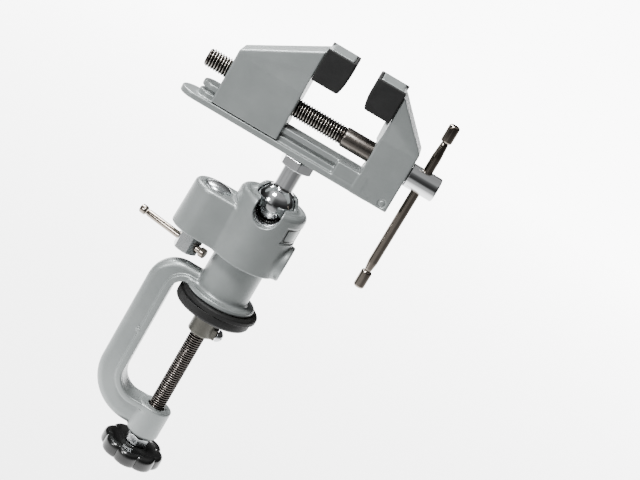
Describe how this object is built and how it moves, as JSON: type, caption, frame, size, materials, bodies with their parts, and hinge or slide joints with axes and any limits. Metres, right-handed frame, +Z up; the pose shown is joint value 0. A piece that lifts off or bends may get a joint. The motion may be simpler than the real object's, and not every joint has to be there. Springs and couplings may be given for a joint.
{
  "type": "bench vise",
  "caption": "Small screw vise with rubber-capped jaws on a lockable ball joint, carried by a C-shaped table clamp with a lobed knob.",
  "frame": {"origin": "on the clamp column's axis, in the face of the rubber disc that bears on the table top", "axes": "+Z up along the column, +X the way the jaws open, from the movable jaw to the fixed jaw and its screw handle, -Y the front with the ball joint's notch"},
  "size_m": [0.1591, 0.0494, 0.2862],
  "materials": {
    "cast_aluminium": "satin grey casting",
    "machined_plate": "matt turned",
    "polished_chrome": "polished",
    "zinc_steel": "zinc plated",
    "dark_steel": "oiled, threaded",
    "black_rubber": "matt",
    "black_plastic": "gloss"
  },
  "bodies": {
    "clamp": {"clamp_frame": "cast_aluminium", "anvil_pad": "black_rubber"},
    "pressure_pad": {"pressure_plate": "machined_plate", "pressure_rubber": "black_rubber", "pad_screw": "zinc_steel"},
    "clamp_handle": {"clamp_screw": "dark_steel", "clamp_knob": "black_plastic", "knob_nut": "zinc_steel"},
    "housing": {"swivel_housing": "cast_aluminium", "keeper_screw": "dark_steel", "ball_seat": "zinc_steel", "ball_liner": "black_plastic", "lock_bolt": "zinc_steel", "upper_wedge": "dark_steel", "lower_wedge": "dark_steel", "clamp_shoe": "dark_steel", "lock_washer": "zinc_steel"},
    "nut": {"lock_nut": "zinc_steel"},
    "nut_bar": {"lock_pin": "zinc_steel", "lock_pin_cap": "zinc_steel"},
    "ball": {"ball_stud": "polished_chrome"},
    "head": {"stud_nut": "polished_chrome", "vise_base": "cast_aluminium", "fixed_jaw_pad": "black_rubber"},
    "slider": {"movable_jaw": "cast_aluminium", "movable_jaw_pad": "black_rubber"},
    "main_screw": {"jaw_screw": "dark_steel", "screw_ring": "dark_steel", "screw_hub": "polished_chrome", "hub_pin": "dark_steel"},
    "tbar": {"tbar_rod": "polished_chrome", "tbar_cap_top": "polished_chrome", "tbar_cap_bottom": "polished_chrome"}
  },
  "joints": [
    {"name": "clamp_feed", "type": "slide", "parent": "clamp", "child": "pressure_pad", "axis": [0, 0, 1], "range_m": [-0.055, 0]},
    {"name": "clamp_screw_turn", "type": "hinge", "parent": "pressure_pad", "child": "clamp_handle", "pos_m": [0, 0, 0], "axis": [0, 0, 1], "range_deg": [-13201, 1]},
    {"name": "column_swivel", "type": "hinge", "parent": "clamp", "child": "housing", "pos_m": [0, 0, 0], "axis": [0, 0, 1], "continuous": true},
    {"name": "lock_nut_turn", "type": "hinge", "parent": "housing", "child": "nut", "pos_m": [-0.0326, 0, 0.0236], "axis": [0, 0, 1], "range_deg": [-60, 30]},
    {"name": "lock_pin_slide", "type": "slide", "parent": "nut", "child": "nut_bar", "axis": [0.944, -0.33, 0], "range_m": [-0.001, 0.0015]},
    {"name": "front_tilt", "type": "hinge", "parent": "housing", "child": "ball", "pos_m": [0, 0, 0.0717], "axis": [1, 0, 0], "range_deg": [-5, 90]},
    {"name": "head_turn", "type": "hinge", "parent": "ball", "child": "head", "pos_m": [0, 0, 0.0717], "axis": [0, 0, 1], "continuous": true},
    {"name": "jaw_feed", "type": "slide", "parent": "head", "child": "slider", "axis": [1, 0, 0], "range_m": [-0.035, 0.0135]},
    {"name": "jaw_screw_turn", "type": "hinge", "parent": "head", "child": "main_screw", "pos_m": [0, 0, 0.1276], "axis": [1, 0, 0], "range_deg": [-2778, 7201]},
    {"name": "tbar_slide", "type": "slide", "parent": "main_screw", "child": "tbar", "axis": [0, 0, 1], "range_m": [-0.019, 0.0545]}
  ],
  "couplings": [
    {"joint": "clamp_screw_turn", "follows": "clamp_feed", "rad_per_m": 4188.8},
    {"joint": "jaw_screw_turn", "follows": "jaw_feed", "rad_per_m": -3590.4}
  ]
}
